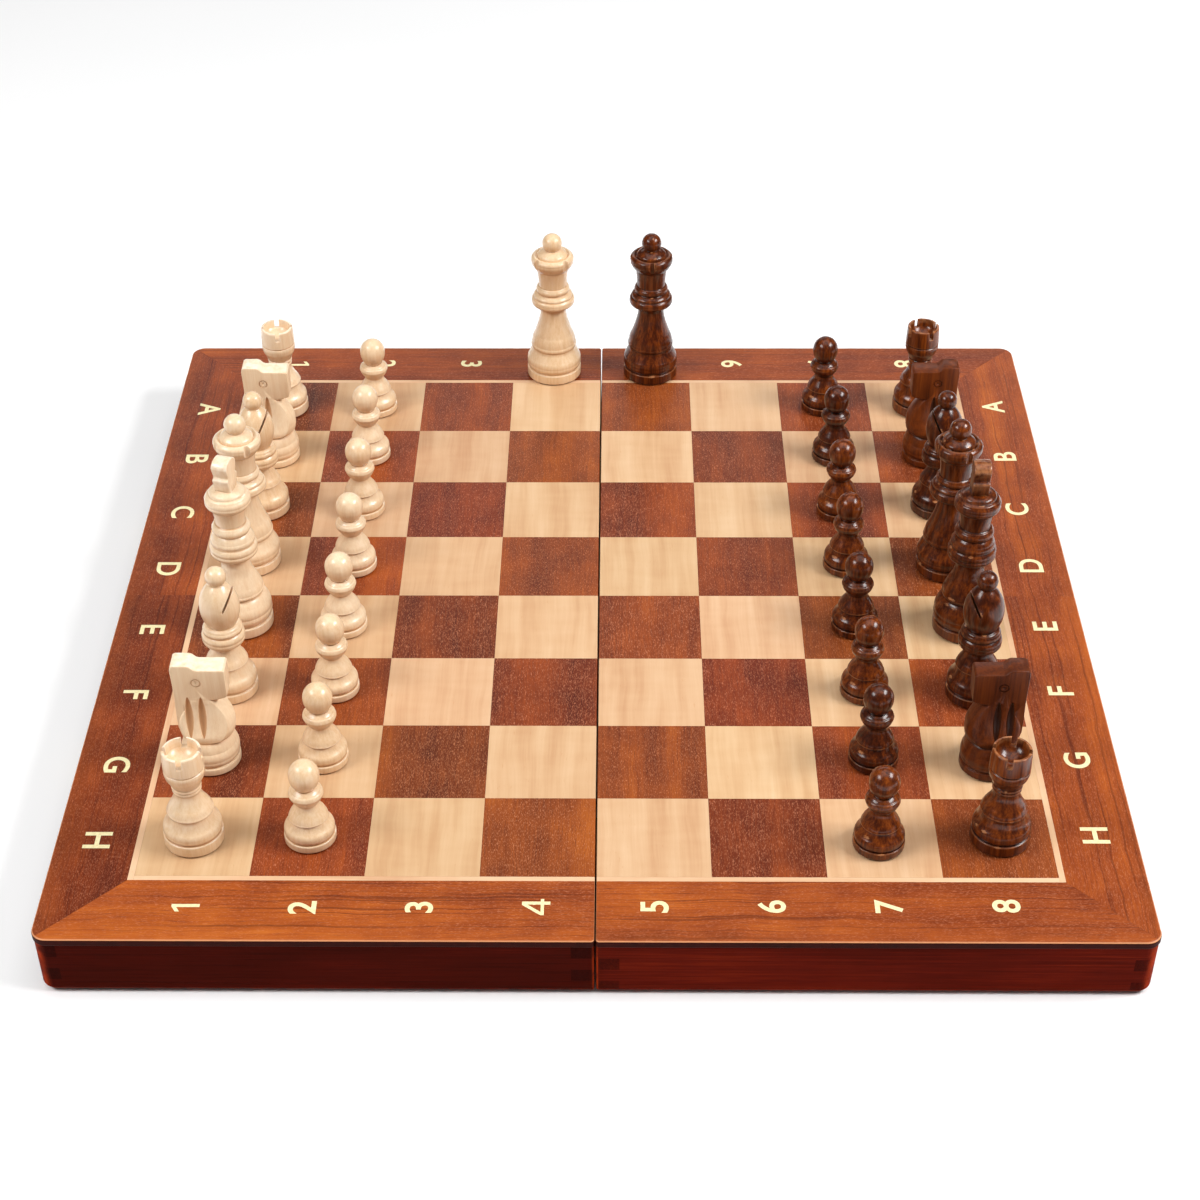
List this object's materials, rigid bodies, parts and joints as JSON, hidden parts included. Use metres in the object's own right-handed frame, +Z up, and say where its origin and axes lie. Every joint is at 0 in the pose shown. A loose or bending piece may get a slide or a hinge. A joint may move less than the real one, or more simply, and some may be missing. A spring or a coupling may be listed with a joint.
{
  "type": "chess set with board",
  "caption": "Folding wooden chess board with hinged halves, storage inside and hook latches, set up with turned light and dark pieces and spare queens.",
  "frame": {"origin": "middle of the open board at its lowest point, the underside of the hinge barrels on the seam", "axes": "+Z up out of the playing surface, +X from the half with the light pieces to the half with the dark pieces, +Y along the seam from row h to row a"},
  "size_m": [0.4826, 0.477, 0.1305],
  "materials": {
    "maple_veneer": "light maple veneer, satin lacquer",
    "mahogany_veneer": "dark red-brown mahogany veneer, satin lacquer",
    "border_veneer": "dark red-brown mahogany veneer, satin lacquer",
    "inlay_line": "light maple line, satin lacquer",
    "panel_wood": "dark stained edge, lacquered",
    "rail_wood": "dark red-brown stain, gloss lacquer",
    "felt_lining": "green felt",
    "brass": "bright brass",
    "light_wood": "pale wood, satin lacquer, felt under the base",
    "dark_wood": "dark brown stained wood, gloss lacquer, felt under the base"
  },
  "bodies": {
    "left_half": {"left_panel": "panel_wood", "left_light_squares": "maple_veneer", "left_dark_squares": "mahogany_veneer", "left_border_veneer": "border_veneer", "left_inlay_line": "inlay_line", "left_side_rails": "rail_wood", "left_end_rail": "rail_wood", "left_spine_rail": "rail_wood", "left_lining": "felt_lining", "left_hinge_leaves": "brass", "left_screws": "brass", "hinge_pins": "brass"},
    "right_half": {"right_panel": "panel_wood", "right_light_squares": "maple_veneer", "right_dark_squares": "mahogany_veneer", "right_border_veneer": "border_veneer", "right_inlay_line": "inlay_line", "right_side_rails": "rail_wood", "right_end_rail": "rail_wood", "right_spine_rail": "rail_wood", "right_lining": "felt_lining", "right_hinge_leaves": "brass", "right_screws": "brass", "latch_pegs": "brass"},
    "hook_front": {"latch_hook_front": "brass"},
    "hook_back": {"latch_hook_back": "brass"},
    "white_rook_a": {"white_rook_a": "light_wood"},
    "white_knight_b": {"white_knight_b": "light_wood"},
    "white_bishop_c": {"white_bishop_c": "light_wood"},
    "white_queen": {"white_queen": "light_wood"},
    "white_king": {"white_king": "light_wood"},
    "white_bishop_f": {"white_bishop_f": "light_wood"},
    "white_knight_g": {"white_knight_g": "light_wood"},
    "white_rook_h": {"white_rook_h": "light_wood"},
    "white_pawn_a": {"white_pawn_a": "light_wood"},
    "white_pawn_b": {"white_pawn_b": "light_wood"},
    "white_pawn_c": {"white_pawn_c": "light_wood"},
    "white_pawn_d": {"white_pawn_d": "light_wood"},
    "white_pawn_e": {"white_pawn_e": "light_wood"},
    "white_pawn_f": {"white_pawn_f": "light_wood"},
    "white_pawn_g": {"white_pawn_g": "light_wood"},
    "white_pawn_h": {"white_pawn_h": "light_wood"},
    "white_spare_queen": {"white_spare_queen": "light_wood"},
    "black_rook_a": {"black_rook_a": "dark_wood"},
    "black_knight_b": {"black_knight_b": "dark_wood"},
    "black_bishop_c": {"black_bishop_c": "dark_wood"},
    "black_queen": {"black_queen": "dark_wood"},
    "black_king": {"black_king": "dark_wood"},
    "black_bishop_f": {"black_bishop_f": "dark_wood"},
    "black_knight_g": {"black_knight_g": "dark_wood"},
    "black_rook_h": {"black_rook_h": "dark_wood"},
    "black_pawn_a": {"black_pawn_a": "dark_wood"},
    "black_pawn_b": {"black_pawn_b": "dark_wood"},
    "black_pawn_c": {"black_pawn_c": "dark_wood"},
    "black_pawn_d": {"black_pawn_d": "dark_wood"},
    "black_pawn_e": {"black_pawn_e": "dark_wood"},
    "black_pawn_f": {"black_pawn_f": "dark_wood"},
    "black_pawn_g": {"black_pawn_g": "dark_wood"},
    "black_pawn_h": {"black_pawn_h": "dark_wood"},
    "black_spare_queen": {"black_spare_queen": "dark_wood"}
  },
  "joints": [
    {"name": "fold", "type": "hinge", "parent": "left_half", "child": "right_half", "pos_m": [0, 0, 0.00125], "axis": [0, 1, 0], "range_deg": [0, 180]},
    {"name": "hook_front_swing", "type": "hinge", "parent": "left_half", "child": "hook_front", "pos_m": [-0.2383, -0.105, 0.0124], "axis": [-1, 0, 0], "range_deg": [0, 90]},
    {"name": "hook_back_swing", "type": "hinge", "parent": "left_half", "child": "hook_back", "pos_m": [-0.2383, 0.105, 0.0124], "axis": [1, 0, 0], "range_deg": [0, 90]},
    {"name": "white_rook_a_lift", "type": "slide", "parent": "left_half", "child": "white_rook_a", "axis": [0, 0, 1], "range_m": [0, 0.12]},
    {"name": "white_knight_b_lift", "type": "slide", "parent": "left_half", "child": "white_knight_b", "axis": [0, 0, 1], "range_m": [0, 0.12]},
    {"name": "white_bishop_c_lift", "type": "slide", "parent": "left_half", "child": "white_bishop_c", "axis": [0, 0, 1], "range_m": [0, 0.12]},
    {"name": "white_queen_lift", "type": "slide", "parent": "left_half", "child": "white_queen", "axis": [0, 0, 1], "range_m": [0, 0.12]},
    {"name": "white_king_lift", "type": "slide", "parent": "left_half", "child": "white_king", "axis": [0, 0, 1], "range_m": [0, 0.12]},
    {"name": "white_bishop_f_lift", "type": "slide", "parent": "left_half", "child": "white_bishop_f", "axis": [0, 0, 1], "range_m": [0, 0.12]},
    {"name": "white_knight_g_lift", "type": "slide", "parent": "left_half", "child": "white_knight_g", "axis": [0, 0, 1], "range_m": [0, 0.12]},
    {"name": "white_rook_h_lift", "type": "slide", "parent": "left_half", "child": "white_rook_h", "axis": [0, 0, 1], "range_m": [0, 0.12]},
    {"name": "white_pawn_a_lift", "type": "slide", "parent": "left_half", "child": "white_pawn_a", "axis": [0, 0, 1], "range_m": [0, 0.12]},
    {"name": "white_pawn_b_lift", "type": "slide", "parent": "left_half", "child": "white_pawn_b", "axis": [0, 0, 1], "range_m": [0, 0.12]},
    {"name": "white_pawn_c_lift", "type": "slide", "parent": "left_half", "child": "white_pawn_c", "axis": [0, 0, 1], "range_m": [0, 0.12]},
    {"name": "white_pawn_d_lift", "type": "slide", "parent": "left_half", "child": "white_pawn_d", "axis": [0, 0, 1], "range_m": [0, 0.12]},
    {"name": "white_pawn_e_lift", "type": "slide", "parent": "left_half", "child": "white_pawn_e", "axis": [0, 0, 1], "range_m": [0, 0.12]},
    {"name": "white_pawn_f_lift", "type": "slide", "parent": "left_half", "child": "white_pawn_f", "axis": [0, 0, 1], "range_m": [0, 0.12]},
    {"name": "white_pawn_g_lift", "type": "slide", "parent": "left_half", "child": "white_pawn_g", "axis": [0, 0, 1], "range_m": [0, 0.12]},
    {"name": "white_pawn_h_lift", "type": "slide", "parent": "left_half", "child": "white_pawn_h", "axis": [0, 0, 1], "range_m": [0, 0.12]},
    {"name": "white_spare_queen_lift", "type": "slide", "parent": "left_half", "child": "white_spare_queen", "axis": [0, 0, 1], "range_m": [0, 0.12]},
    {"name": "black_rook_a_lift", "type": "slide", "parent": "right_half", "child": "black_rook_a", "axis": [0, 0, 1], "range_m": [0, 0.12]},
    {"name": "black_knight_b_lift", "type": "slide", "parent": "right_half", "child": "black_knight_b", "axis": [0, 0, 1], "range_m": [0, 0.12]},
    {"name": "black_bishop_c_lift", "type": "slide", "parent": "right_half", "child": "black_bishop_c", "axis": [0, 0, 1], "range_m": [0, 0.12]},
    {"name": "black_queen_lift", "type": "slide", "parent": "right_half", "child": "black_queen", "axis": [0, 0, 1], "range_m": [0, 0.12]},
    {"name": "black_king_lift", "type": "slide", "parent": "right_half", "child": "black_king", "axis": [0, 0, 1], "range_m": [0, 0.12]},
    {"name": "black_bishop_f_lift", "type": "slide", "parent": "right_half", "child": "black_bishop_f", "axis": [0, 0, 1], "range_m": [0, 0.12]},
    {"name": "black_knight_g_lift", "type": "slide", "parent": "right_half", "child": "black_knight_g", "axis": [0, 0, 1], "range_m": [0, 0.12]},
    {"name": "black_rook_h_lift", "type": "slide", "parent": "right_half", "child": "black_rook_h", "axis": [0, 0, 1], "range_m": [0, 0.12]},
    {"name": "black_pawn_a_lift", "type": "slide", "parent": "right_half", "child": "black_pawn_a", "axis": [0, 0, 1], "range_m": [0, 0.12]},
    {"name": "black_pawn_b_lift", "type": "slide", "parent": "right_half", "child": "black_pawn_b", "axis": [0, 0, 1], "range_m": [0, 0.12]},
    {"name": "black_pawn_c_lift", "type": "slide", "parent": "right_half", "child": "black_pawn_c", "axis": [0, 0, 1], "range_m": [0, 0.12]},
    {"name": "black_pawn_d_lift", "type": "slide", "parent": "right_half", "child": "black_pawn_d", "axis": [0, 0, 1], "range_m": [0, 0.12]},
    {"name": "black_pawn_e_lift", "type": "slide", "parent": "right_half", "child": "black_pawn_e", "axis": [0, 0, 1], "range_m": [0, 0.12]},
    {"name": "black_pawn_f_lift", "type": "slide", "parent": "right_half", "child": "black_pawn_f", "axis": [0, 0, 1], "range_m": [0, 0.12]},
    {"name": "black_pawn_g_lift", "type": "slide", "parent": "right_half", "child": "black_pawn_g", "axis": [0, 0, 1], "range_m": [0, 0.12]},
    {"name": "black_pawn_h_lift", "type": "slide", "parent": "right_half", "child": "black_pawn_h", "axis": [0, 0, 1], "range_m": [0, 0.12]},
    {"name": "black_spare_queen_lift", "type": "slide", "parent": "right_half", "child": "black_spare_queen", "axis": [0, 0, 1], "range_m": [0, 0.12]}
  ]
}
